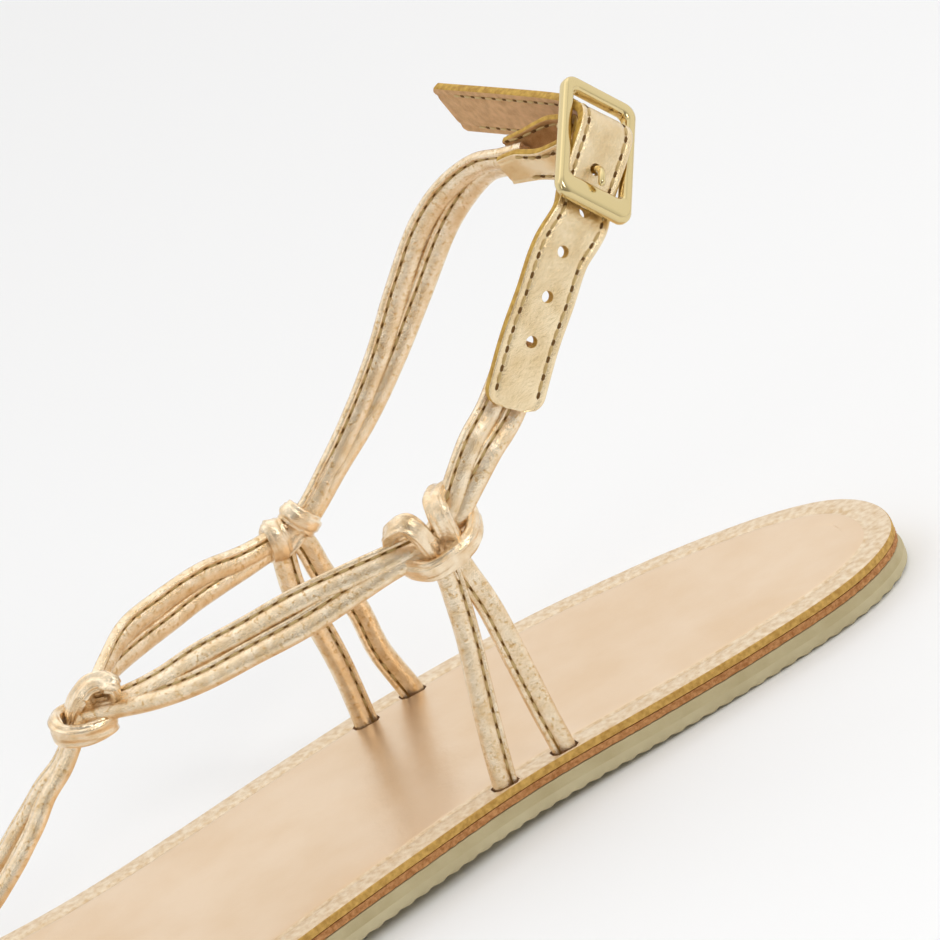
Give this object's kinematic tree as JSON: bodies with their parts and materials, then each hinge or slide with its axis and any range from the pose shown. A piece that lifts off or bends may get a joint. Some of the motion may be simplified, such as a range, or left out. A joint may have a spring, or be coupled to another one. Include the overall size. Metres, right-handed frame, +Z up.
{
  "type": "gladiator sandal",
  "caption": "Flat open sandal whose rolled leather cords run in pairs from a toe post over the instep and round the ankle, closed by a small buckle.",
  "frame": {"origin": "on the floor under the middle of the heel, on the outsole's flat heel spot", "axes": "+X from heel to toe, +Y to the outer side with the buckle, +Z up"},
  "size_m": [0.25, 0.0761, 0.1017],
  "materials": {
    "outsole_rubber": "matt cream rubber",
    "leather_board": "raw fibrous leather board edge",
    "insole_leather": "pinkish champagne metallic leather, mustard cut edge",
    "cord_leather": "champagne gold metallic leather, rolled and stitched",
    "strap_leather": "champagne gold metallic leather, stitched, mustard cut edge",
    "buckle_metal": "polished pale gold plating"
  },
  "bodies": {
    "root": {"outsole": "outsole_rubber", "midsole_board": "leather_board", "insole": "insole_leather", "upper": "cord_leather", "billet_strap": "strap_leather", "chape": "strap_leather", "buckle_frame": "buckle_metal", "buckle_prong": "buckle_metal"}
  },
  "joints": []
}
